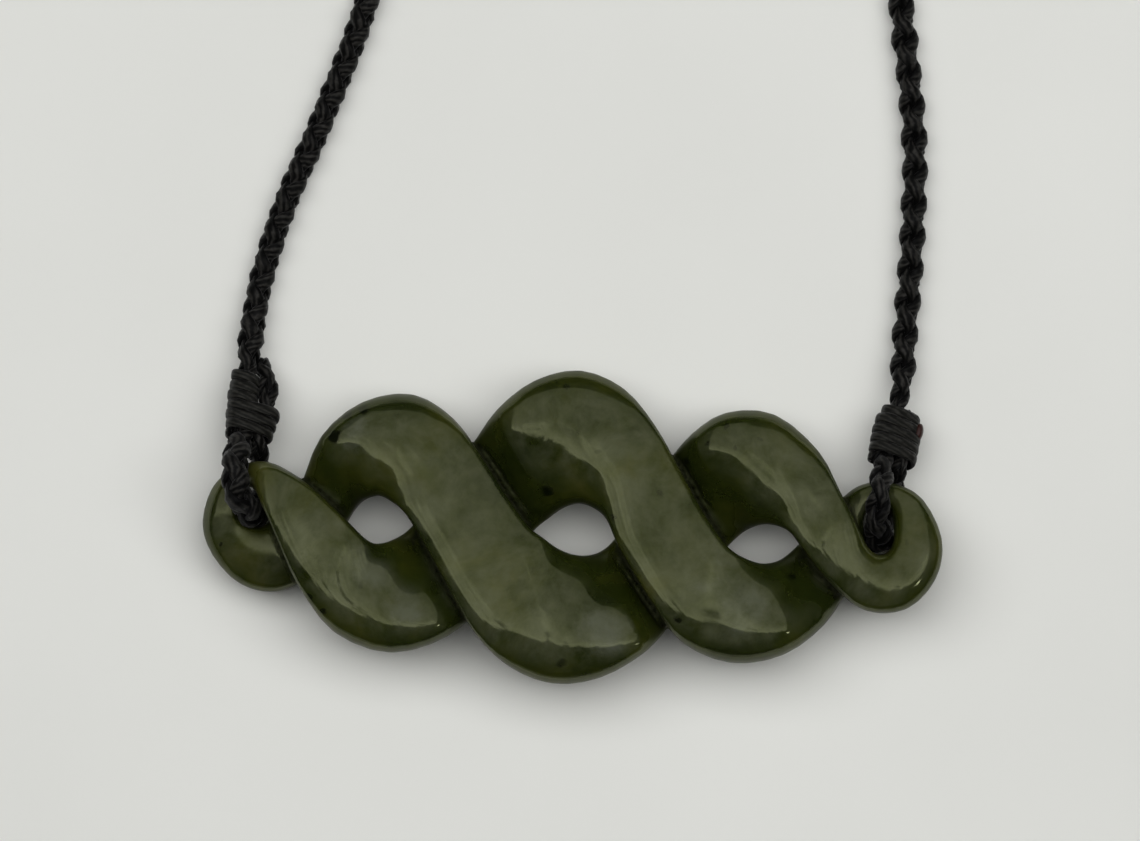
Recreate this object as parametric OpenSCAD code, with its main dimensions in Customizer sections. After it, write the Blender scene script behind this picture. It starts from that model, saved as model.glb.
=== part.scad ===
/* [Stone] */
// Length of the carved twist from end to end
stone_length = 65.2; // [65.2:0.2:72]
// Thickness of the block that the twist is carved from
stone_thickness = 9.6; // [9.6:0.1:9.9]

/* [Cord] */
// Diameter of the plaited cord
cord_d = 2.2; // [1.8:0.1:2.2]
// Diameter of each leg of the cord where thread binds it tight
bound_d = 1.5; // [1.3:0.05:1.5]

/* [Binding] */
// Width of the flat waxed thread
thread_w = 0.84; // [0.82:0.01:0.86]
// Thickness of the thread
thread_t = 0.45; // [0.3:0.05:0.45]
// Turns of thread in the left binding
left_turns = 6; // [4:0.5:6]
// Turns of thread in the right binding, all of them round both legs
right_turns = 5.5; // [4.5:0.5:5.5]

/* [Hidden] */

// The origin is on the surface, halfway along the necklace, and the stone lies this far below it
stone_y = -137.2;

// The tables below describe a twist of this length and thickness, with a cord of this diameter
table_length = 65.2;
table_thickness = 9.6;
table_cord = 2.2;
scale_xy = stone_length / table_length;
scale_z = stone_thickness / table_thickness;

// Cross-sections of the carved band, one row each, in the order in which it runs
// LX LY  left edge of the band seen from above, RX RY its right edge
// BL BR  height of its underside at the left and at the right edge
// TL TR  height of its face at the left and at the right edge
// SQ     squareness of the section, 2 is an ellipse and 6 nearly a rectangle
LX = 0;
LY = 1;
RX = 2;
RY = 3;
BL = 4;
BR = 5;
TL = 6;
TR = 7;
SQ = 8;

// From the left eye over the first and third front bands to the right eye
FIRST_RUN = [
    // left eye, outer wall and bar
    [-32.6,   0.3, -29.6,   1.5,  2.3, 2.5,  5.5, 7.0,  2.3],
    [-31.7,   3.5, -29.4,   2.4,  2.6, 2.8,  5.8, 6.9,  2.3],
    [-29.7,   5.2, -28.8,   3.3,  3.0, 3.0,  6.4, 6.6,  2.4],
    // first front band
    [-26.9,   5.8, -28.0,   3.5,  4.2, 3.9,  8.8, 8.9,  2.8],
    [-23.6,   4.1, -27.1,   1.7,  4.4, 4.4,  9.4, 9.4,  4.8],
    [-20.6,   1.4, -26.0,  -0.7,  4.5, 4.5,  9.5, 9.5,  6.0],
    [-18.1,  -1.1, -24.1,  -5.0,  4.4, 3.0,  9.5, 9.5,  4.8],
    // first lower lobe
    [-16.8,  -1.4, -20.9,  -9.2,  2.6, 0.6,  9.0, 9.5,  3.0],
    [-15.4,  -0.9, -15.9, -11.0,  0.3, 0.3,  7.9, 9.5,  2.7],
    [-14.3,  -0.1, -10.9,  -9.5,  0.0, 0.0,  5.6, 8.6,  2.8],
    // under the second front band
    [-12.7,   1.9,  -7.5,  -6.4,  0.0, 0.0,  5.0, 5.2,  3.4],
    [-10.6,   4.7,  -5.1,  -2.9,  0.0, 0.0,  5.0, 5.0,  4.0],
    [ -8.8,   7.3,  -3.5,  -0.4,  0.0, 0.0,  5.8, 5.2,  3.4],
    // second upper lobe
    [ -6.6,  10.4,  -2.2,   0.7,  0.0, 0.0,  9.6, 6.4,  2.9],
    [ -3.3,  12.9,  -0.8,   1.7,  0.2, 0.2,  9.6, 8.3,  2.7],
    [  0.7,  13.8,   0.7,   2.1,  0.5, 0.9,  9.6, 9.4,  2.6],
    [  4.5,  12.2,   2.2,   1.5,  1.4, 3.4,  9.6, 9.6,  2.8],
    // third front band
    [  7.3,   8.9,   3.1,   0.5,  3.0, 4.4,  9.6, 9.6,  4.8],
    [  9.4,   5.1,   3.9,  -1.4,  4.4, 4.6,  9.6, 9.6,  6.0],
    [ 11.4,   1.4,   5.4,  -4.0,  4.6, 4.6,  9.6, 9.6,  6.0],
    [ 13.6,  -1.7,   7.1,  -6.7,  4.5, 4.3,  9.6, 9.6,  6.0],
    // third lower lobe
    [ 15.6,  -2.9,   9.6, -10.1,  4.2, 2.2,  9.5, 9.6,  3.3],
    [ 17.0,  -3.2,  13.9, -11.9,  1.6, 0.5,  9.2, 9.5,  2.7],
    [ 18.3,  -2.9,  18.5, -11.2,  0.2, 0.2,  7.9, 9.6,  2.7],
    [ 19.6,  -1.9,  22.2,  -8.5,  0.0, 0.0,  5.3, 8.0,  2.9],
    // under the fourth front band
    [ 21.3,   0.0,  24.4,  -5.1,  0.1, 0.1,  5.0, 5.0,  3.4],
    [ 23.6,   2.4,  25.8,  -2.0,  0.9, 0.9,  5.6, 5.4,  3.0],
    // right eye, bar and outer wall
    [ 25.6,   3.8,  25.6,   0.8,  2.4, 2.2,  6.0, 5.8,  3.1],
    [ 28.2,   3.9,  26.9,   2.2,  3.0, 3.0,  6.3, 6.3,  2.7],
    [ 30.8,   2.5,  28.0,   1.4,  2.8, 2.8,  6.8, 6.8,  2.7]
];

// From the right eye over the fourth and second front bands back to the left eye
SECOND_RUN = [
    // right eye, outer wall and foot
    [ 32.5,  -1.1,  28.3,  -0.7,  2.8, 2.8,  7.4, 7.9,  3.0],
    [ 31.9,  -4.6,  27.9,  -2.0,  2.6, 3.0,  7.5, 8.3,  3.1],
    [ 29.3,  -7.2,  27.1,  -2.4,  2.4, 3.2,  8.0, 8.7,  3.3],
    [ 25.7,  -7.3,  26.4,  -2.2,  2.8, 3.6,  8.6, 9.0,  3.6],
    // fourth front band
    [ 22.8,  -5.1,  25.7,  -1.4,  4.2, 4.2,  9.2, 9.2,  3.8],
    [ 20.5,  -2.3,  24.7,   0.7,  4.6, 4.6,  9.5, 9.5,  6.0],
    [ 19.2,  -0.5,  23.5,   3.1,  4.6, 4.2,  9.5, 9.5,  6.0],
    // third upper lobe
    [ 18.1,   0.1,  21.6,   6.7,  4.0, 2.0,  9.5, 9.6,  3.2],
    [ 16.9,   0.3,  17.8,   9.9,  1.4, 0.4,  9.3, 9.6,  2.7],
    [ 15.8,   0.0,  13.6,  10.1,  0.2, 0.2,  8.3, 9.6,  2.7],
    [ 14.7,  -0.7,  10.5,   8.2,  0.0, 0.0,  5.6, 9.3,  2.9],
    // under the third front band
    [ 13.2,  -2.3,   8.1,   5.3,  0.0, 0.0,  5.0, 5.2,  3.5],
    [ 11.0,  -5.6,   5.9,   2.1,  0.0, 0.0,  5.0, 5.0,  4.0],
    [  8.7,  -8.5,   3.8,  -1.0,  0.0, 0.0,  5.6, 5.0,  3.4],
    // second lower lobe
    [  6.3, -11.0,   2.6,  -2.1,  0.0, 0.0,  9.4, 6.0,  2.9],
    [  2.4, -13.2,   1.4,  -2.5,  0.2, 0.3,  9.5, 8.4,  2.7],
    [ -1.8, -13.7,   0.0,  -2.4,  0.6, 1.4,  9.6, 9.3,  2.7],
    [ -5.7, -12.1,  -1.4,  -1.8,  1.8, 3.6,  9.6, 9.6,  3.0],
    // second front band
    [ -8.6,  -9.2,  -2.6,  -0.9,  3.6, 4.5,  9.6, 9.6,  4.8],
    [-10.8,  -5.4,  -3.9,   0.1,  4.6, 4.6,  9.6, 9.6,  6.0],
    [-12.7,  -1.9,  -5.9,   2.9,  4.6, 4.6,  9.6, 9.6,  6.0],
    [-14.6,   1.2,  -7.8,   5.9,  4.6, 4.3,  9.6, 9.6,  6.0],
    // first upper lobe
    [-15.9,   2.3, -10.4,   9.5,  4.0, 2.4,  9.5, 9.6,  3.3],
    [-17.0,   2.8, -14.1,  11.7,  1.6, 0.5,  9.3, 9.6,  2.7],
    [-18.3,   2.4, -18.5,  11.0,  0.2, 0.2,  8.3, 9.6,  2.7],
    [-19.2,   1.5, -22.1,   8.0,  0.0, 0.0,  5.6, 9.2,  2.9],
    // under the first front band
    [-20.5,  -0.6, -24.1,   3.4,  0.1, 0.1,  5.0, 5.2,  3.2],
    [-22.9,  -4.0, -26.1,   1.0,  0.4, 0.4,  5.0, 5.0,  3.0],
    // left eye, foot and outer wall
    [-26.0,  -5.7, -27.5,   0.0,  0.8, 1.2,  4.5, 5.8,  2.5],
    [-29.3,  -5.0, -28.6,   0.3,  1.4, 2.0,  4.6, 6.2,  2.3],
    [-31.7,  -2.5, -29.4,   0.9,  2.0, 2.4,  5.1, 6.6,  2.3]
];

// Points round each section, and steps from one row of a table to the next
section_sides = 26;
row_steps = 3;
// Place across the rounded section where the flat side walls cut it off
wall_place = 0.93;

// Smooth curve through four rows, from the second (u = 0) to the third (u = 1)
function between(a, b, c, d, u) =
    0.5 * (2 * b + (c - a) * u + (2 * a - 5 * b + 4 * c - d) * u * u
    + (3 * b - a - 3 * c + d) * u * u * u);

// One turn of a closed table, with extra rows worked out between the given ones
function along(rows, steps) =
    let (n = len(rows))
    [for (i = [0 : n - 1], k = [0 : steps - 1])
        between(rows[(i + n - 1) % n], rows[i], rows[(i + 1) % n], rows[(i + 2) % n], k / steps)];

function power(value, exponent) = sign(value) * pow(abs(value), exponent);

// A value at a place across the band, from the right edge (-1) to the left edge (1)
function across(right, left, place) = (left + right) / 2 + (left - right) / 2 * place;

// Outline of the section that a row describes, with flat side walls and kept inside the block
function section(row) =
    [for (k = [0 : section_sides - 1])
        let (
            turn = 360 * (k + 0.5) / section_sides,
            bulge = power(cos(turn), 2 / row[SQ]) / wall_place,
            place = min(1, max(-1, bulge)),
            lift = power(sin(turn), 2 / row[SQ]),
            foot = max(0, across(row[BR], row[BL], place)),
            face = min(table_thickness, across(row[TR], row[TL], place))
        )
        [
            across(row[RX], row[LX], place) * scale_xy,
            across(row[RY], row[LY], place) * scale_xy,
            across(foot, face, lift) * scale_z
        ]];

// A closed skin over rings of equal length, with flat ends
module skin(rings) {
    sides = len(rings[0]);
    last = len(rings) - 1;
    points = [for (ring = rings) each ring];
    walls = [for (i = [0 : last - 1], k = [0 : sides - 1])
        let (
            a = i * sides + k,
            b = i * sides + (k + 1) % sides
        )
        [a, a + sides, b + sides, b]];
    foot = [for (k = [0 : sides - 1]) k];
    head = [for (k = [sides - 1 : -1 : 0]) last * sides + k];
    polyhedron(points, concat(walls, [foot, head]), convexity = 10);
}

// The rows of the whole band and the section rings that they give
band_rings = [for (row = along(concat(FIRST_RUN, SECOND_RUN), row_steps)) section(row)];
band_count = len(band_rings);
half_count = len(FIRST_RUN) * row_steps;

// A ring drawn in towards its middle, for an end that is tucked inside the next run
tuck = 0.7;
function tucked(ring) =
    let (middle = [for (k = [0 : len(ring) - 1]) 1] * ring / len(ring))
    [for (p = ring) middle + (p - middle) * tuck];

module greenstone_twist() {
    color("#4b5a35")
    translate([0, stone_y, 0])
    resize([0, 0, 0])
    union() {
        // the first run goes on a step inside the second at both ends
        skin(concat([tucked(band_rings[band_count - 1])],
            [for (i = [0 : half_count]) band_rings[i]],
            [tucked(band_rings[half_count + 1])]));
        skin([for (i = [half_count : band_count]) band_rings[i % band_count]]);
    }
}

// Route of the cord from its left end to its right end, one row for each point
// X Y Z  the middle of the cord, measured from the middle of the stone and from the surface
// B      0 where the cord is free and 1 where the thread binds it
X = 0;
Y = 1;
Z = 2;
B = 3;

// The two legs of the cord in each binding, from the stone outwards
LEFT_FRONT = [
    [-29.15,  7.65, 4.85, 1.0],
    [-29.20,  9.55, 4.15, 1.0],
    [-29.00, 11.65, 3.50, 1.0],
    [-28.70, 13.55, 2.90, 1.0]
];
LEFT_BACK = [
    [-27.75,  7.05, 3.85, 1.0],
    [-27.68,  8.75, 3.75, 1.0],
    [-27.20, 10.05, 3.55, 1.0],
    [-26.70, 10.90, 3.35, 1.0],
    [-26.62, 12.35, 3.10, 1.0],
    [-26.80, 13.25, 2.40, 1.0],
    [-27.15, 14.40, 1.50, 1.0]
];
RIGHT_FRONT = [
    [ 27.30,  5.60, 5.10, 1.0],
    [ 27.42,  6.60, 4.50, 1.0],
    [ 27.80,  8.60, 3.70, 1.0],
    [ 28.75, 11.00, 2.90, 1.0]
];
RIGHT_BACK = [
    [ 28.62,  4.64, 4.02, 1.0],
    [ 28.95,  6.10, 3.75, 1.0],
    [ 29.30,  7.60, 3.05, 1.0],
    [ 29.62,  9.10, 2.35, 1.0],
    [ 29.90, 10.50, 1.75, 1.0],
    [ 30.00, 10.90, 1.55, 1.0]
];

// Left eye, under the bar, up through the eye and over the bar
LEFT_EYE = [
    [-27.60,  5.90, 2.85, 0.8],
    [-27.35,  4.50, 1.40, 0.0],
    [-27.50,  2.90, 1.25, 0.0],
    [-27.90,  1.70, 2.60, 0.0],
    [-28.30,  1.45, 4.70, 0.0],
    [-28.65,  1.80, 6.85, 0.0],
    [-29.40,  3.00, 8.22, 0.0],
    [-29.65,  5.00, 8.20, 0.0],
    [-29.52,  6.60, 6.72, 0.2]
];

// Out from the left binding, round the neck and back to the right binding
LOOP = [
    [-28.45,  16.00, 2.20, 0.0],
    [-27.60,  21.30, 1.25, 0.0],
    [-25.45,  28.30, 1.20, 0.0],
    [-22.20,  35.80, 1.15, 0.0],
    [-18.20,  46.40, 1.15, 0.0],
    [-13.00,  70.00, 1.15, 0.0],
    [-20.00, 103.00, 1.15, 0.0],
    [-37.00, 140.00, 1.15, 0.0],
    [-52.00, 178.00, 1.15, 0.0],
    [-58.00, 218.00, 1.15, 0.0],
    [-50.00, 256.00, 1.15, 0.0],
    [-27.00, 280.00, 1.15, 0.0],
    [  2.00, 287.00, 1.15, 0.0],
    [ 31.00, 279.00, 1.15, 0.0],
    [ 52.00, 254.00, 1.15, 0.0],
    [ 58.00, 216.00, 1.15, 0.0],
    [ 50.00, 174.00, 1.15, 0.0],
    [ 38.00, 132.00, 1.15, 0.0],
    [ 28.50,  95.00, 1.15, 0.0],
    [ 26.50,  70.00, 1.15, 0.0],
    [ 29.00,  46.40, 1.15, 0.0],
    [ 30.20,  34.00, 1.20, 0.0],
    [ 30.00,  25.00, 1.20, 0.0],
    [ 29.40,  17.00, 1.35, 0.0],
    [ 29.05,  12.90, 2.30, 0.2]
];

// Right eye, over the bar, down through the eye and under the bar
RIGHT_EYE = [
    [ 27.15,  4.50, 6.75, 0.5],
    [ 26.95,  3.10, 7.90, 0.0],
    [ 26.70,  1.15, 7.50, 0.0],
    [ 26.84, -0.38, 5.85, 0.0],
    [ 27.00, -0.90, 4.00, 0.0],
    [ 27.15, -0.60, 2.30, 0.0],
    [ 27.55,  0.75, 1.30, 0.0],
    [ 28.00,  2.30, 1.20, 0.0],
    [ 28.35,  3.60, 1.65, 0.6],
    [ 28.50,  4.24, 2.70, 1.0]
];

function turned(rows) = [for (i = [len(rows) - 1 : -1 : 0]) rows[i]];
left_rows = concat(turned(LEFT_BACK), LEFT_EYE, LEFT_FRONT);
right_rows = concat(turned(RIGHT_FRONT), RIGHT_EYE, RIGHT_BACK);
route = concat(left_rows, LOOP, right_rows);

// Rings of the cord are this far apart at the eyes and on the loop
eye_step = 2;
loop_step = 14;
cord_sides = 8;
function step_after(i) = i < len(left_rows) - 1 || i >= len(route) - len(right_rows) ? eye_step : loop_step;

// Smooth curve through four rows, which allows for their distances, from the second to the third
function knot(a, b) = sqrt(norm([b[X] - a[X], b[Y] - a[Y], b[Z] - a[Z]]));
function blend(a, b, from, to, t) = ((to - t) * a + (t - from) * b) / (to - from);
function bend(a, b, c, d, u) =
    let (
        t1 = knot(a, b),
        t2 = t1 + knot(b, c),
        t3 = t2 + knot(c, d),
        t = t1 + (t2 - t1) * u,
        ab = blend(a, b, 0, t1, t),
        bc = blend(b, c, t1, t2, t),
        cd = blend(c, d, t2, t3, t)
    )
    blend(blend(ab, bc, 0, t2, t), blend(bc, cd, t1, t3, t), t1, t2, t);

// The route with its extra rows, from the first row to the last
function through(rows) =
    let (
        last = len(rows) - 1,
        padded = concat([2 * rows[0] - rows[1]], rows, [2 * rows[last] - rows[last - 1]])
    )
    concat([for (i = [0 : last - 1])
        let (
            apart = pow(knot(rows[i], rows[i + 1]), 2),
            count = max(1, round(apart / step_after(i)))
        )
        for (k = [0 : count - 1])
            bend(padded[i], padded[i + 1], padded[i + 2], padded[i + 3], k / count)],
        [rows[last]]);

// Where a row of the route is, on a stone of the chosen size and for a cord of the chosen diameter
function spot(row) =
    [row[X] * scale_xy, stone_y + row[Y] * scale_xy, row[Z] * scale_z + (cord_d - table_cord) / 2];

function unit(v) = v / norm(v);

// The part of a direction that is square to the way ahead, at unit length
function square_to(v, ahead) = unit(v - (v * ahead) * ahead);
function aheads(path) =
    let (last = len(path) - 1)
    [for (i = [0 : last]) unit(path[min(i + 1, last)] - path[max(i - 1, 0)])];

// Directions across a path that never twist about it, carried on from one ring to the next
function untwisted(ahead, start) =
    [for (i = 0, side = square_to(start, ahead[0]); i < len(ahead);
        i = i + 1, side = i < len(ahead) ? square_to(side, ahead[i]) : side) side];

// A tube along a path, with half its width along the given side and half its thickness across it
module tube(path, ahead, side, wide, thick, sides) {
    skin([for (i = [0 : len(path) - 1])
        [for (k = [0 : sides - 1])
            let (turn = 360 * (k + 0.5) / sides)
            path[i] + wide[i] * cos(turn) * side[i] + thick[i] * sin(turn) * cross(ahead[i], side[i])]]);
}

module neck_cord() {
    rows = through(route);
    path = [for (row = rows) spot(row)];
    ahead = aheads(path);
    radii = [for (row = rows) (cord_d + (bound_d - cord_d) * min(1, max(0, row[B]))) / 2];
    color("#1d1c1b")
    tube(path, ahead, untwisted(ahead, [0, 0, 1]), radii, radii, cord_sides);
}

// Points in a turn of thread, and sides of the thread
thread_steps = 16;
thread_sides = 6;
// Turns of the left binding that go round both legs of the cord
left_both_turns = 3;
// Angle by which the turns slope from square to each binding
left_slant = 4;
right_slant = -7;
// Room between the cord and the thread, and between one turn and the next
thread_gap = 0.2;
turn_gap = 0.05;
// Steepness with which a turn goes over from one leg to the other
crossover = 3;

// The middle of a leg at a given Y
function leg_at(rows, y) =
    [lookup(y, [for (p = rows) [p[Y], p[X]]]), y, lookup(y, [for (p = rows) [p[Y], p[Z]]])];

// Flat thread wound round both legs next to the stone and round the front leg alone above that
module whipping(front_rows, back_rows, turns, both_turns, slant) {
    front = [for (row = front_rows) spot(row)];
    back = [for (row = back_rows) spot(row)];
    axis = unit(front[len(front) - 1] - front[0]);
    level = unit(cross(axis, [0, 0, 1]));
    radius = bound_d / 2 + thread_gap + thread_t / 2;
    pitch = thread_w + turn_gap;
    path = [for (i = [0 : turns * thread_steps])
        let (
            turn = 360 * i / thread_steps,
            y = front[0][Y] + thread_w / 2 + pitch * i / thread_steps * axis[Y],
            near = leg_at(front, y),
            far = leg_at(back, y),
            spread = (near - far) - ((near - far) * axis) * axis,
            stack = unit(spread),
            place = i <= both_turns * thread_steps ? (min(1, max(-1, crossover * cos(turn))) - 1) / 2 : 0,
            reach = place * spread + radius * (cos(turn) * stack + sin(turn) * cross(stack, axis))
        )
        near + reach - tan(slant) * (reach * level) * axis];
    ahead = aheads(path);
    side = [for (a = ahead) square_to(axis, a)];
    color("#2a2927")
    tube(path, ahead, side, [for (p = path) thread_w / 2], [for (p = path) thread_t / 2], thread_sides);
}

module left_whipping() whipping(LEFT_FRONT, LEFT_BACK, left_turns, left_both_turns, left_slant);
module right_whipping() whipping(RIGHT_FRONT, RIGHT_BACK, right_turns, right_turns, right_slant);

greenstone_twist();
neck_cord();
left_whipping();
right_whipping();
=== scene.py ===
import math
import bmesh
import bpy
from mathutils import Matrix, Vector, noise
from mathutils.bvhtree import BVHTree


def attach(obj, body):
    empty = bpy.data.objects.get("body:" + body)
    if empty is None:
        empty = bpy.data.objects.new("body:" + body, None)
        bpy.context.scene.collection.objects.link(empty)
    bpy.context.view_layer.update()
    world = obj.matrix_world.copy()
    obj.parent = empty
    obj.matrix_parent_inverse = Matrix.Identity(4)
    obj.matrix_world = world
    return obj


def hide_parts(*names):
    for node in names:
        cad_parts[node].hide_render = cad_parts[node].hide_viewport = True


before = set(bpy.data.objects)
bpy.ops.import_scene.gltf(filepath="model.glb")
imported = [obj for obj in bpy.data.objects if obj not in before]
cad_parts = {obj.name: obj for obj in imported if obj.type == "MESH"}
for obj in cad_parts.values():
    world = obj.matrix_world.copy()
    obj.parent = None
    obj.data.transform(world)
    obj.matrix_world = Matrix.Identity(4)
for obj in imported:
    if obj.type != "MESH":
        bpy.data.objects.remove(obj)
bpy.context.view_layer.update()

# Camera: it looks straight down on the stone as it lies, with a long lens, so the picture
# takes in the twist and the start of both sides of the neck loop.
picture_middle = Vector((-0.00022, -0.1278, 0.005))
picture_width = 0.1003
camera_height = 0.9
lens = bpy.data.cameras.new("camera")
lens.sensor_width = 36
lens.lens = lens.sensor_width * camera_height / picture_width
lens.clip_start = 0.05
lens.clip_end = 20
camera = bpy.data.objects.new("camera", lens)
camera.location = picture_middle + Vector((0, 0, camera_height))
bpy.context.collection.objects.link(camera)
bpy.context.scene.camera = camera
bpy.context.scene.view_settings.view_transform = "Standard"


# Table: a sheet of pale matt card under the whole necklace, a little warm and very slightly
# uneven in tone.
def shader_node(tree, kind, sockets=None, **settings):
    """A node with its settings made and its sockets filled in or linked"""
    made = tree.nodes.new("ShaderNode" + kind)
    for name, value in settings.items():
        setattr(made, name, value)
    for name, value in (sockets or {}).items():
        if isinstance(value, bpy.types.NodeSocket):
            tree.links.new(value, made.inputs[name])
        else:
            made.inputs[name].default_value = value
    return made


def finish(name, **sockets):
    """A new material, its node tree and its surface shader"""
    made = bpy.data.materials.new(name)
    made.use_nodes = True
    surface = made.node_tree.nodes["Principled BSDF"]
    for socket, value in sockets.items():
        surface.inputs[socket.replace("_", " ")].default_value = value
    return made, made.node_tree, surface


def clouds(tree, place, scale, detail, roughness=0.5, **settings):
    """A cloudy pattern, in grey and in colour"""
    return shader_node(tree, "TexNoise", {"Vector": place, "Scale": scale, "Detail": detail,
                                          "Roughness": roughness}, **settings)


def paint(colour):
    """A colour or a grey as a socket takes it"""
    return (*colour, 1) if isinstance(colour, tuple) else (colour, colour, colour, 1)


def tone(tree, amount, *stops):
    """Colours or greys along a ramp, each given with its place"""
    ramp = shader_node(tree, "ValToRGB", {"Fac": amount})
    marks = ramp.color_ramp.elements
    while len(marks) < len(stops):
        marks.new(0.5)
    for mark, (place, colour) in zip(marks, stops):
        mark.position = place
        mark.color = paint(colour)
    return ramp.outputs["Color"]


def placed(name, made, material):
    """The object of a finished bmesh, smooth shaded"""
    mesh = bpy.data.meshes.new(name)
    made.to_mesh(mesh)
    made.free()
    mesh.shade_smooth()
    mesh.materials.append(material)
    piece = bpy.data.objects.new(name, mesh)
    bpy.context.collection.objects.link(piece)
    return piece


table_half = 6
table_drop = 0.00002
card, card_tree, card_surface = finish("pale_card", Roughness=0.7)
card_place = shader_node(card_tree, "TexCoord").outputs["Object"]
card_blotch = clouds(card_tree, card_place, scale=25.0, detail=3.0)
card_colour = tone(card_tree, card_blotch.outputs["Fac"],
                   (0.3, (0.80, 0.805, 0.765)), (0.7, (0.83, 0.835, 0.795)))
card_tree.links.new(card_colour, card_surface.inputs["Base Color"])
card_mesh = bmesh.new()
bmesh.ops.create_grid(card_mesh, x_segments=4, y_segments=4, size=table_half)
bmesh.ops.translate(card_mesh, verts=card_mesh.verts, vec=(0, 0, -table_drop))
table = placed("table", card_mesh, card)

# Light: an uneven pale ceiling with a ragged near edge, which shows only in the polish, the
# main soft light from above and the neck side, which throws the shadows, and one small lamp
# low on the right, which makes the sparkles.
stone_middle = Vector((0, -0.1372, 0.005))


def soft_light(name, place, shape, width, depth, power):
    """An area light that faces the stone and that the camera doesn't see"""
    lamp = bpy.data.lights.new(name, "AREA")
    lamp.shape = shape
    lamp.size = width
    lamp.size_y = depth
    lamp.energy = power
    holder = bpy.data.objects.new(name, lamp)
    holder.location = stone_middle + Vector(place)
    holder.rotation_euler = (-Vector(place)).to_track_quat("-Z", "Y").to_euler()
    holder.visible_camera = False
    bpy.context.collection.objects.link(holder)
    return holder


def reckoned(tree, operation, *values):
    """The result of a sum on single numbers"""
    return shader_node(tree, "Math", dict(enumerate(values)), operation=operation).outputs["Value"]


ceiling = soft_light("ceiling", place=(0.11, 0.51, 1.2), shape="RECTANGLE",
                     width=2.1, depth=2.4, power=16.8)
ceiling.rotation_euler = (0, 0, 0)
ceiling.visible_diffuse = False
ceiling.data.use_nodes = True
ceiling_tree = ceiling.data.node_tree
ceiling_place = shader_node(ceiling_tree, "NewGeometry").outputs["Parametric"]
ceiling_depth = shader_node(ceiling_tree, "SeparateXYZ", {"Vector": ceiling_place}).outputs["Y"]
narrow_teeth = shader_node(ceiling_tree, "Mapping", {"Vector": ceiling_place, "Scale": (26, 6, 1)})
ragged = clouds(ceiling_tree, narrow_teeth.outputs["Vector"], scale=1.0, detail=5.0, roughness=0.65)
near_edge = tone(ceiling_tree, ragged.outputs["Fac"],
                 (0.30, 0.10), (0.56, 0.16), (0.60, 0.20), (0.66, 0.23))
from_edge = reckoned(ceiling_tree, "SUBTRACT", ceiling_depth, near_edge)
ceiling_glow = tone(ceiling_tree, from_edge, (0.0, 0.0), (0.010, 1.35), (0.07, 0.95),
                    (0.13, 0.52), (0.20, 0.42), (0.6, 0.36))
ceiling_tree.links.new(ceiling_glow, ceiling_tree.nodes["Emission"].inputs["Color"])
main_light = soft_light("main_light", place=(0.05, 0.30, 1.2), shape="ELLIPSE",
                        width=3.2, depth=1.0, power=22.4)
main_light.visible_glossy = False
soft_light("small_lamp", place=(0.9, -0.36, 0.8), shape="DISK", width=0.06, depth=0.06, power=0.09)

room_glow = 0.03
room_seen = (0.62, 0.62, 0.60)
room = bpy.data.worlds.new("dim_room")
bpy.context.scene.world = room
room.use_nodes = True
room_tree = room.node_tree
seen = shader_node(room_tree, "LightPath").outputs["Is Camera Ray"]
room_tone = tone(room_tree, seen, (0.0, room_glow), (1.0, room_seen))
room_tree.links.new(room_tone, room_tree.nodes["Background"].inputs["Color"])

# Greenstone: the twist is carved from one block of nephrite and polished all over, so its
# faces are glassy, its edges softly rounded and its planes a little uneven from the hand.
# Cloudy olive and grey-green stone shows through, with a few black specks. Its milky clouds and pale
# spots are its own colour, but they show only on the upward faces, a painted sheen that makes the tops
# read lit.
millimetre = 0.001
laid_out = Matrix.Translation((0, -0.1372, 0)) @ Matrix.Scale(millimetre, 4)
grain = 0.00022
rub = 0.5
rub_back = -0.51
softening_strokes = 4
polish_strokes = 30
face_strokes = 24
face_upright = 0.8
eye_strokes = 60
eye_inner_side = -0.0245
eye_ring_top = 0.0072
groove_strokes = 10
groove_start = 0.00001
groove_depth = 0.0003
groove_steepness = 4
crease_hollow = 0.00003
hand_wave = 0.00003
wave_length = 0.006

block = bmesh.new()
block.from_mesh(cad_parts["greenstone_twist"].data)
bmesh.ops.remove_doubles(block, verts=block.verts, dist=1e-7)
rough_mesh = bpy.data.meshes.new("sawn_block")
block.to_mesh(rough_mesh)
block.free()
rough = bpy.data.objects.new("sawn_block", rough_mesh)
bpy.context.collection.objects.link(rough)
shaping = rough.modifiers.new("shaping", "REMESH")
shaping.mode = "VOXEL"
shaping.voxel_size = grain
carved_mesh = bpy.data.meshes.new_from_object(
    rough.evaluated_get(bpy.context.evaluated_depsgraph_get()))
bpy.data.objects.remove(rough)

twist = bmesh.new()
twist.from_mesh(carved_mesh)


def rub_down(verts, strokes):
    """Evens the stone out at some of its vertices, stroke by stroke"""
    for strength in strokes:
        bmesh.ops.smooth_vert(twist, verts=verts, factor=strength,
                              use_axis_x=True, use_axis_y=True, use_axis_z=True)


def share(value, start, span):
    """How far a value has come on its way from the start over the span, from 0 to 1"""
    return min(1, max(0, (value - start) / span))


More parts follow.
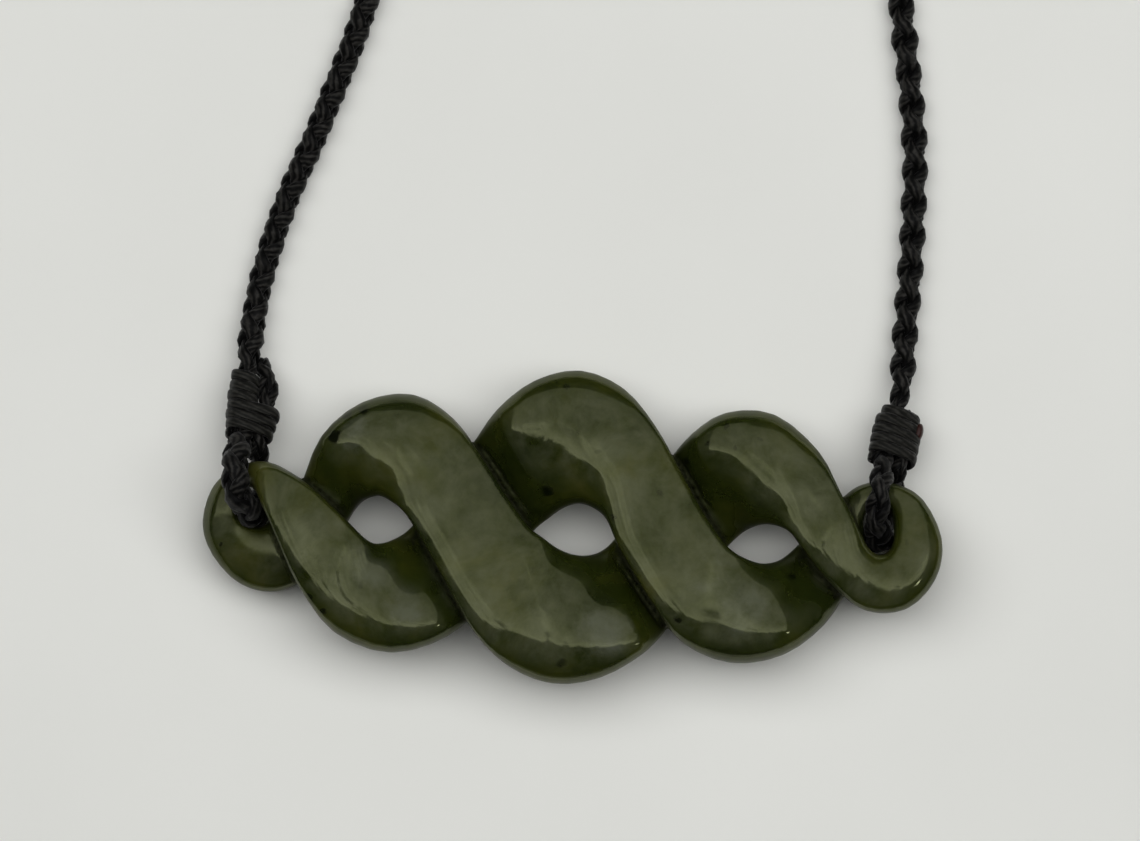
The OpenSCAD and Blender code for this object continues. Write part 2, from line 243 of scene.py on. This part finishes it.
rub_down(twist.verts, [rub] * softening_strokes + [rub, rub_back] * polish_strokes)
twist.normal_update()
upper_faces = [vert for vert in twist.verts if vert.normal.z > face_upright]
rub_down(upper_faces, [rub] * face_strokes)
left_eye_ring = [vert for vert in upper_faces
                 if vert.co.x < eye_inner_side and vert.co.z < eye_ring_top]
rub_down(left_eye_ring, [rub] * eye_strokes)
twist.normal_update()
smooth_places = [vert.co.copy() for vert in twist.verts]
smooth_normals = [vert.normal.copy() for vert in twist.verts]
rub_down(twist.verts, [rub] * groove_strokes)
# Masks from the smoothed shape: the upward faces, which get a painted sheen, the creases, which get
# painted shade and more roughness, and the polished faces, which only set the roughness.
painted_sheen_face = twist.verts.layers.float.new("painted_sheen_face")
polish = twist.verts.layers.float.new("polish")
crease = twist.verts.layers.float.new("crease")
for vert, place, normal in zip(twist.verts, smooth_places, smooth_normals):
    hollow = max(0, (vert.co - place).dot(normal) - groove_start)
    vert.co = place - normal * min(groove_depth, groove_steepness * hollow)
    vert.co += normal * hand_wave * noise.noise(place / wave_length)
    vert[crease] = share(hollow, 0, crease_hollow)
    vert[painted_sheen_face] = share(normal.z, start=0.84, span=0.13)
    vert[polish] = share(normal.z, start=0.5, span=0.3)


def mixed(tree, amount, under, over, **settings):
    """One colour or grey laid over another by an amount"""
    under, over = [colour if isinstance(colour, bpy.types.NodeSocket) else paint(colour)
                   for colour in (under, over)]
    return shader_node(tree, "MixRGB", {"Fac": amount, "Color1": under, "Color2": over},
                       **settings).outputs["Color"]


def shifted(tree, place, pattern, amount):
    """A place that a cloudy pattern moves, by up to an amount"""
    push = shader_node(tree, "VectorMath", {0: pattern.outputs["Color"], 1: (amount,) * 3},
                       operation="MULTIPLY")
    return shader_node(tree, "VectorMath", {0: place, 1: push.outputs["Vector"]},
                       operation="ADD").outputs["Vector"]


def relief(tree, height, strength, distance):
    """A bump from a height"""
    return shader_node(tree, "Bump", {"Height": height, "Strength": strength,
                                      "Distance": distance}).outputs["Normal"]


stone, stone_tree, stone_surface = finish(
    "polished_nephrite", IOR=1.61, Specular_Tint=(0.95, 1.0, 0.55, 1.0), Subsurface_Weight=0.25,
    Subsurface_Radius=(1.0, 1.1, 0.5), Subsurface_Scale=0.0009)
stone_place = shader_node(stone_tree, "TexCoord").outputs["Object"]
bend = clouds(stone_tree, stone_place, scale=90.0, detail=2.0)
drifted = shifted(stone_tree, stone_place, bend, 0.006)
cloud = clouds(stone_tree, drifted, scale=150.0, detail=5.0, roughness=0.6)
body_colour = tone(stone_tree, cloud.outputs["Fac"],
                   (0.30, (0.008, 0.012, 0.002)), (0.48, (0.015, 0.020, 0.003)),
                   (0.60, (0.025, 0.029, 0.004)), (0.75, (0.045, 0.046, 0.009)))
milk = clouds(stone_tree, drifted, scale=260.0, detail=3.0,
              noise_type="RIDGED_MULTIFRACTAL", normalize=True)
veins = tone(stone_tree, milk.outputs["Fac"], (0.45, 0.0), (0.9, 0.5))
patch = clouds(stone_tree, drifted, scale=330.0, detail=5.0, roughness=0.62)
patches = tone(stone_tree, patch.outputs["Fac"], (0.36, 0.0), (0.68, 0.8))
milk_and_sheen = reckoned(stone_tree, "MAXIMUM", veins, patches)
# Painted sheen: the milky clouds are laid only on the upward faces, so the tops read paler, as if lit.
on_face = shader_node(stone_tree, "Attribute", attribute_name="painted_sheen_face").outputs["Fac"]
milk_and_painted_sheen = mixed(stone_tree, reckoned(stone_tree, "MULTIPLY", milk_and_sheen, on_face),
                body_colour, (0.065, 0.070, 0.040))

# each spot: X and Y from the middle of the stone in mm, radius in mm, and how strong it is
milk_and_sheen_spots = [
    (2.9, -8.8, 2.3, 0.95), (14.8, -6.8, 2.0, 0.75), (-14.8, -7.0, 1.7, 0.75),
    (-19.4, 8.8, 1.6, 0.90), (-17.6, -3.8, 2.2, 0.55), (12.6, -4.3, 1.8, 0.45),
]
olive_streaks = [
    (-22.9, -2.6, 1.0, 0.8), (-22.3, -4.2, 0.9, 0.7), (4.9, -5.8, 1.2, 0.6),
    (-4.9, -5.4, 1.0, 0.5),
]
specks = [
    (-18.3, 10.4, 0.55, 1.00), (-19.7, 9.9, 0.50, 1.00), (-20.9, 8.1, 0.65, 1.00),
    (-23.0, -6.0, 0.30, 0.95), (-21.9, -7.4, 0.32, 0.95), (-18.5, -5.0, 0.25, 0.50),
    (-30.9, -1.6, 0.22, 0.70), (-2.3, 3.2, 0.60, 1.00), (-0.6, 12.4, 0.35, 0.60),
    (0.2, 8.4, 0.28, 0.45), (2.2, 6.7, 0.28, 0.50), (7.7, 3.0, 0.30, 0.60),
    (3.6, 0.9, 0.30, 0.95), (-3.5, -3.8, 0.26, 0.45), (9.3, -8.0, 0.32, 0.95),
    (-1.0, -11.9, 0.40, 0.60), (10.0, 5.9, 0.32, 0.95), (13.5, 8.8, 0.28, 0.70),
    (11.8, 7.3, 0.26, 0.60), (14.2, 7.1, 0.22, 0.50), (16.4, 7.8, 0.22, 0.40),
    (19.3, -4.2, 0.40, 0.80), (29.3, -1.3, 0.26, 0.40), (-10.4, -0.7, 0.45, 0.30),
]
chafed_spots = [(-29.3, -1.2, 2.9, 1.0)]
surface_of_twist = BVHTree.FromBMesh(twist)


def blots(spots, place, shift, outer, inner):
    """How much of any of the spots shows at a place, which a pattern shifts on average that far"""
    most = None
    for x, y, radius, strength in spots:
        above = laid_out @ Vector((x, y, 20))
        spot = surface_of_twist.ray_cast(above, Vector((0, 0, -1)))[0]
        away = shader_node(stone_tree, "VectorMath", {0: place, 1: spot + Vector((shift,) * 3)},
                           operation="DISTANCE").outputs["Value"]
        blot = shader_node(stone_tree, "MapRange",
                           {"Value": away, "From Min": radius * millimetre * outer,
                            "From Max": radius * millimetre * inner, "To Min": 0.0,
                            "To Max": strength}, interpolation_type="SMOOTHSTEP").outputs["Result"]
        most = blot if most is None else reckoned(stone_tree, "MAXIMUM", most, blot)
    return most


tear = 0.005
torn = clouds(stone_tree, stone_place, scale=420.0, detail=5.0, roughness=0.7)
torn_place = shifted(stone_tree, stone_place, torn, tear)
# Painted sheen: the pale spots, like the milky clouds, are laid only on the upward faces.
pale_spots = blots(milk_and_sheen_spots, torn_place, tear / 2, outer=1.5, inner=0.3)
painted_sheen_spots = reckoned(stone_tree, "MULTIPLY", pale_spots, on_face)
torn_milk = tone(stone_tree, patch.outputs["Fac"], (0.36, 0.35), (0.60, 1.0))
pale_milk_and_painted_sheen = mixed(stone_tree, reckoned(stone_tree, "MULTIPLY", painted_sheen_spots, torn_milk),
              milk_and_painted_sheen, (0.075, 0.081, 0.060))
olive = blots(olive_streaks, torn_place, tear / 2, outer=1.4, inner=0.5)
streaked = mixed(stone_tree, olive, pale_milk_and_painted_sheen, (0.010, 0.014, 0.001))
fray = 0.0009
uneven = clouds(stone_tree, stone_place, scale=1100.0, detail=2.0)
frayed_place = shifted(stone_tree, stone_place, uneven, fray)
black = blots(specks, frayed_place, fray / 2, outer=1.3, inner=0.5)
speckled = mixed(stone_tree, black, streaked, (0.002, 0.003, 0.001))
# Painted shade: the colour goes nearly black in the creases where one band crosses another; the same
# crease mask also makes them rougher.
in_crease = shader_node(stone_tree, "Attribute", attribute_name="crease").outputs["Fac"]
shaded = mixed(stone_tree, in_crease, speckled, (0.003, 0.004, 0.001))
stone_tree.links.new(shaded, stone_surface.inputs["Base Color"])

chafed_roughness = 0.24
wall_roughness = 0.5
crease_roughness = 0.7
scratches = clouds(stone_tree, stone_place, scale=900.0, detail=4.0).outputs["Fac"]
glassy = tone(stone_tree, scratches, (0.35, 0.045), (0.7, 0.10))
chafed = blots(chafed_spots, stone_place, 0, outer=1.5, inner=0.7)
on_faces = mixed(stone_tree, chafed, glassy, chafed_roughness)
polished = shader_node(stone_tree, "Attribute", attribute_name="polish").outputs["Fac"]
on_walls = mixed(stone_tree, polished, wall_roughness, on_faces)
stone_tree.links.new(mixed(stone_tree, in_crease, on_walls, crease_roughness),
                     stone_surface.inputs["Roughness"])
stone_tree.links.new(relief(stone_tree, scratches, strength=0.12, distance=0.00004),
                     stone_surface.inputs["Normal"])
greenstone = placed("polished_greenstone", twist, stone)
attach(greenstone, "root")
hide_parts("greenstone_twist")

# Neck cord: four strands of black waxed thread plaited round each other into one 2.2 mm cord.
# It starts as a short tail at the left binding, goes round the bar of the left eye, out round
# the neck, and round the bar of the right eye to another short tail.

# each row: the middle of the cord in mm from the middle of the stone, and how much it is
# squeezed there, from 0, not at all, to 1, as thin as a binding makes it
left_back = [
    (-27.75, 7.05, 3.85, 0.6), (-27.68, 8.75, 3.75, 1.0), (-27.20, 10.05, 3.55, 1.0),
    (-26.95, 10.90, 3.35, 0.65), (-26.86, 12.35, 3.10, 0.6), (-27.05, 13.35, 2.40, 0.65),
    (-27.55, 14.40, 1.60, 1.0),
]
left_eye = [
    (-27.60, 5.90, 2.85, 0.4), (-27.35, 4.50, 1.40, 0.0), (-27.50, 2.90, 1.25, 0.0),
    (-27.75, 1.40, 2.60, -0.3), (-28.10, 1.10, 4.70, -0.4), (-28.55, 1.65, 6.85, -0.3),
    (-29.35, 3.00, 8.15, -0.4), (-29.60, 5.00, 8.15, -0.4), (-29.48, 6.60, 6.72, -0.4),
]
left_front = [
    (-29.15, 7.65, 4.85, 0.1), (-29.20, 9.55, 4.15, 1.0), (-29.00, 11.65, 3.50, 1.0),
    (-28.70, 13.55, 2.90, 1.0),
]
neck_loop = [
    (-28.45, 16.00, 2.20, 0.0), (-27.60, 21.30, 1.25, 0.0), (-25.45, 28.30, 1.20, 0.0),
    (-22.20, 35.80, 1.15, 0.0), (-18.20, 46.40, 1.15, 0.0), (-13.00, 70.00, 1.15, 0.0),
    (-20.00, 103.00, 1.15, 0.0), (-37.00, 140.00, 1.15, 0.0), (-52.00, 178.00, 1.15, 0.0),
    (-58.00, 218.00, 1.15, 0.0), (-50.00, 256.00, 1.15, 0.0), (-27.00, 280.00, 1.15, 0.0),
    (2.00, 287.00, 1.15, 0.0), (31.00, 279.00, 1.15, 0.0), (52.00, 254.00, 1.15, 0.0),
    (58.00, 216.00, 1.15, 0.0), (50.00, 174.00, 1.15, 0.0), (38.00, 132.00, 1.15, 0.0),
    (28.50, 95.00, 1.15, 0.0), (26.50, 70.00, 1.15, 0.0), (29.00, 46.40, 1.15, 0.0),
    (30.20, 34.00, 1.20, 0.0), (30.00, 25.00, 1.20, 0.0), (29.40, 17.00, 1.35, 0.0),
    (29.05, 12.90, 2.30, 0.2),
]
right_front = [
    (27.30, 5.60, 5.10, 0.4), (27.42, 6.60, 4.50, 1.0), (27.80, 8.60, 3.70, 1.0),
    (28.75, 11.00, 2.90, 1.0),
]
right_eye = [
    (27.15, 4.50, 6.75, 0.3), (26.95, 3.10, 7.90, 0.2), (26.72, 1.15, 7.50, 0.15),
    (26.84, -0.42, 5.85, -0.2), (27.00, -0.98, 4.00, -0.6), (27.15, -0.70, 2.30, -0.5),
    (27.55, 0.75, 1.30, 0.0), (28.00, 2.30, 1.20, 0.0), (28.35, 3.60, 1.65, 0.6),
    (28.50, 4.24, 2.70, 1.0),
]
right_back = [
    (28.62, 4.64, 4.02, 1.0), (28.95, 6.10, 3.75, 1.0), (29.30, 7.60, 3.05, 1.0),
    (29.62, 9.10, 2.35, 1.0), (29.66, 9.60, 2.15, 1.4),
]
route = (left_back[::-1] + left_eye + left_front + neck_loop
         + right_front[::-1] + right_eye + right_back)


def smooth_run(rows, step):
    """Points an even step apart along a smooth curve through the rows"""
    rows = [Vector(row) for row in rows]
    rows = [2 * rows[0] - rows[1]] + rows + [2 * rows[-1] - rows[-2]]

    def knot(a, b):
        return math.sqrt((b.xyz - a.xyz).length)

    fine = []
    for a, b, c, d in zip(rows, rows[1:], rows[2:], rows[3:]):
        t1 = knot(a, b)
        t2 = t1 + knot(b, c)
        t3 = t2 + knot(c, d)
        count = max(4, round((c.xyz - b.xyz).length / step * 4))
        for k in range(count):
            t = t1 + (t2 - t1) * k / count
            ab = ((t1 - t) * a + t * b) / t1
            bc = ((t2 - t) * b + (t - t1) * c) / (t2 - t1)
            cd = ((t3 - t) * c + (t - t2) * d) / (t3 - t2)
            abc = ((t2 - t) * ab + t * bc) / t2
            bcd = ((t3 - t) * bc + (t - t1) * cd) / (t3 - t1)
            fine.append(((t2 - t) * abc + (t - t1) * bcd) / (t2 - t1))
    fine.append(rows[-2])
    even = [fine[0]]
    gone = 0
    for a, b in zip(fine, fine[1:]):
        length = (b.xyz - a.xyz).length
        while gone + length >= step:
            a = a.lerp(b, (step - gone) / length)
            even.append(a)
            length = (b.xyz - a.xyz).length
            gone = 0
        gone += length
    return even


def aheads(path):
    """The way ahead at each point of a path"""
    last = len(path) - 1
    return [(path[min(i + 1, last)] - path[max(i - 1, 0)]).normalized() for i in range(last + 1)]


def square_to(direction, ahead):
    """The direction turned square to the way ahead"""
    return (direction - direction.dot(ahead) * ahead).normalized()


def sleeve(made, rings, sides, squareness):
    """A grid rolled round rings of a middle, a half width and a half thickness, and closed"""
    uv = made.loops.layers.uv.verify()
    grid = bmesh.ops.create_grid(made, x_segments=len(rings) - 1, y_segments=sides, size=1)["verts"]
    along = [0.0]
    for (a, _, _), (b, _, _) in zip(rings, rings[1:]):
        along.append(along[-1] + (b - a).length)
    outline = []
    for k in range(sides + 1):
        turn = 2 * math.pi * (k + 0.5) / sides
        outline.append([math.copysign(abs(w) ** (2 / squareness), w)
                        for w in (math.cos(turn), math.sin(turn))])
    faces = set()
    where = {}
    for vert in grid:
        i = round((vert.co.x + 1) / 2 * (len(rings) - 1))
        k = round((vert.co.y + 1) / 2 * sides)
        middle, wide, thick = rings[i]
        vert.co = middle + outline[k][0] * wide + outline[k][1] * thick
        where[vert] = (k / sides, along[i])
        faces.update(vert.link_faces)
    for face in faces:
        for loop in face.loops:
            loop[uv].uv = where[loop.vert]
    bmesh.ops.remove_doubles(made, verts=grid, dist=1e-5)
    ends = {e for face in faces if face.is_valid for e in face.edges if e.is_boundary}
    bmesh.ops.holes_fill(made, edges=list(ends), sides=0)


plait_lay = 5.8
plait_step = plait_lay / 15
strand_middle = 0.56
strand_weave = 0.28
strand_half_width = 0.66
strand_half_thickness = 0.38
strand_looseness = 0.10
core_radius = 0.45
melted_radius = 0.58
cord_lift = 0.00006
bound_size = 1.5 / 2.2
right_roll = math.radians(45)
roll_steps = 100

cord_run = smooth_run(route, plait_step)
cord_path = [point.xyz for point in cord_run]
cord_ahead = aheads(cord_path)
cord_side = []
side = Vector((1, 0, 0))
for ahead in cord_ahead:
    side = square_to(side, ahead)
    cord_side.append(side)
roll_start = len(cord_run) // 2 - roll_steps / 2
plait = bmesh.new()
for strand in range(4):
    way = 1 if strand < 2 else -1
    places = []
    for i, point in enumerate(cord_run):
        phase = 2 * math.pi * i * plait_step / plait_lay
        size = 1 + (bound_size - 1) * point.w
        roll = right_roll * share(i, roll_start, roll_steps)
        angle = way * phase + math.pi * (strand % 2) + roll
        out = math.cos(angle) * cord_side[i] + math.sin(angle) * cord_ahead[i].cross(cord_side[i])
        loose = 1 + strand_looseness * noise.noise(Vector((i / 6, strand * 7, 3)))
        reach = size * loose * (strand_middle + way * strand_weave * math.cos(2 * phase))
        places.append((point.xyz + reach * out, out, size))
    strand_ahead = aheads([place[0] for place in places])
    rings = []
    for (middle, out, size), ahead in zip(places, strand_ahead):
        thick = square_to(out, ahead)
        rings.append((middle, size * strand_half_width * ahead.cross(thick),
                      size * strand_half_thickness * thick))
    sleeve(plait, rings, sides=10, squareness=2.3)
core = [(point.xyz, core_radius * cord_side[i], core_radius * cord_ahead[i].cross(cord_side[i]))
        for i, point in enumerate(cord_run)]
sleeve(plait, core, sides=6, squareness=2)
for end in (cord_path[0], cord_path[-1]):
    bmesh.ops.create_icosphere(plait, subdivisions=3, radius=melted_radius,
                               matrix=Matrix.Translation(end))
bmesh.ops.recalc_face_normals(plait, faces=plait.faces)
bmesh.ops.transform(plait, matrix=Matrix.Translation((0, 0, cord_lift)) @ laid_out,
                    verts=plait.verts)

outside_of_thread = 0.25


def waxed(name, dark_tone, pale_tone, lines, lean, thread_relief):
    """Black waxed yarn whose fine fibres run along the thread and lean across it, with painted shade
    darkening it towards its sides
    """
    made, tree, surface = finish(name, Roughness=0.5, Specular_IOR_Level=0.22, Sheen_Weight=0.05,
                                 Sheen_Roughness=0.4)
    uv = shader_node(tree, "TexCoord").outputs["UV"]
    place = shader_node(tree, "TexCoord").outputs["Object"]
    leaning = shader_node(tree, "Mapping", {"Vector": uv, "Scale": (lines, lean, 1)}).outputs["Vector"]
    fibres = shader_node(tree, "TexWave", {"Vector": leaning, "Scale": 1.0, "Distortion": 5.0,
                                           "Detail": 3.0, "Detail Scale": 1.5},
                         wave_type="BANDS", bands_direction="DIAGONAL", wave_profile="SIN")
    wax = clouds(tree, place, scale=2600.0, detail=4.0).outputs["Fac"]
    waxed_fibres = reckoned(tree, "MULTIPLY", fibres.outputs["Fac"], wax)
    # Painted shade: the colour of each strand or wrap darkens to near black towards its sides, in the
    # gaps where it meets the next.
    round_thread = shader_node(tree, "SeparateXYZ", {"Vector": uv}).outputs["X"]
    sunk = reckoned(tree, "ABSOLUTE", reckoned(tree, "SUBTRACT", round_thread, outside_of_thread))
    painted_gap_shade = tone(tree, sunk, (0.10, 1.0), (0.20, 0.02))
    worn = tone(tree, waxed_fibres, (0.1, dark_tone), (0.5, pale_tone))
    tree.links.new(mixed(tree, 1.0, worn, painted_gap_shade, blend_type="MULTIPLY"),
                   surface.inputs["Base Color"])
    tree.links.new(tone(tree, wax, (0.35, 0.62), (0.7, 0.36)), surface.inputs["Roughness"])
    tree.links.new(relief(tree, waxed_fibres, thread_relief, 0.00008), surface.inputs["Normal"])
    return made


strand_wax = waxed("waxed_plait", dark_tone=(0.0006, 0.0006, 0.0005),
                   pale_tone=(0.019, 0.018, 0.016), lines=4.0, lean=0.6, thread_relief=0.7)
neck_cord = placed("plaited_neck_cord", plait, strand_wax)
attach(neck_cord, "root")
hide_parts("neck_cord")

# Bindings: above each eye a flat waxed thread is wound tightly round the two legs of the cord,
# on the left three turns round both legs and the rest round the front leg alone, past the tail.
# The right one ends in a small reddish nub of melted thread.
thread_half_width = 0.455
thread_half_thickness = 0.225
thread_room = 0.2
bound_radius = 0.75
turn_pitch = 0.89
turn_steps = 28
turn_looseness = 0.09
turn_shift = 0.05
thread_swell = 0.12
drawn_turns = 1.3
drawn_radius = 0.45
nub_shape = Matrix.Rotation(math.radians(-14), 4, "Z") @ Matrix.Diagonal((0.42, 0.85, 0.55, 1))


def leg_at(rows, y):
    """The middle of a leg at a height above the eye"""
    rows = sorted(rows, key=lambda row: row[1])
    y_near = min(max(y, rows[0][1]), rows[-1][1])
    for low, high in zip(rows, rows[1:]):
        if y_near <= high[1]:
            u = (y_near - low[1]) / (high[1] - low[1])
            return Vector((low[0] + (high[0] - low[0]) * u, y, low[2] + (high[2] - low[2]) * u))


def binding(name, front, back, turns, both_turns, slant, seed, narrowing, nub=None):
    """The wound thread of one side, with the melted nub of its end where that shows"""
    axis = (Vector(front[-1][:3]) - Vector(front[0][:3])).normalized()
    level = axis.cross(Vector((0, 0, 1))).normalized()
    radius = bound_radius + thread_room + thread_half_thickness
    path = []
    for i in range(round(turns * turn_steps) + 1):
        turn = 2 * math.pi * i / turn_steps
        y = front[0][1] + thread_half_width + turn_pitch * i / turn_steps * axis.y
        near = leg_at(front, y)
        spread = near - leg_at(back, y)
        spread -= spread.dot(axis) * axis
        stack = spread.normalized()
        place = 0
        if i <= both_turns * turn_steps:
            place = (min(1, max(-1, 3 * math.cos(turn))) - 1) / 2
        drawn_in = narrowing * share(i / turn_steps, turns - drawn_turns, drawn_turns)
        loose = 1 + turn_looseness * noise.noise(Vector((i / 9, seed, 0))) - drawn_radius * drawn_in
        reach = place * (1 - drawn_in) * spread + radius * loose * (
            math.cos(turn) * stack + math.sin(turn) * stack.cross(axis))
        shift = turn_shift * noise.noise(Vector((i / 10, seed, 5)))
        path.append(near + reach + (shift - math.tan(slant) * reach.dot(level)) * axis)
    wound = bmesh.new()
    rings = []
    for i, (middle, ahead) in enumerate(zip(path, aheads(path))):
        wide = square_to(axis, ahead)
        swell = 1.04 + thread_swell * noise.noise(Vector((i / 5, seed, 9)))
        rings.append((middle, thread_half_width * swell * wide,
                      thread_half_thickness * wide.cross(ahead)))
    sleeve(wound, rings, sides=10, squareness=2.6)
    if nub is not None:
        lump = bmesh.ops.create_icosphere(wound, subdivisions=3, radius=1,
                                          matrix=Matrix.Translation(nub) @ nub_shape)["verts"]
        for face in {face for vert in lump for face in vert.link_faces}:
            face.material_index = 1
    bmesh.ops.recalc_face_normals(wound, faces=wound.faces)
    bmesh.ops.transform(wound, matrix=laid_out, verts=wound.verts)
    piece = placed(name, wound, thread_wax)
    piece.data.materials.append(melted_wax)
    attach(piece, "root")
    return piece


thread_wax = waxed("waxed_thread", dark_tone=(0.0040, 0.0040, 0.0032),
                   pale_tone=(0.0185, 0.018, 0.015), lines=5.0, lean=0.35, thread_relief=0.5)
melted_wax = finish("melted_thread", Base_Color=(0.024, 0.007, 0.005, 1), Roughness=0.3)[0]
left_binding = binding("left_binding", left_front, left_back, turns=6, both_turns=3,
                       slant=math.radians(4), seed=1, narrowing=0.1)
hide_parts("left_whipping")
right_binding = binding("right_binding", right_front, right_back, turns=5.5, both_turns=5.5,
                        slant=math.radians(-7), seed=2, narrowing=0.5,
                        nub=Vector((30.50, 8.30, 3.1)))
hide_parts("right_whipping")
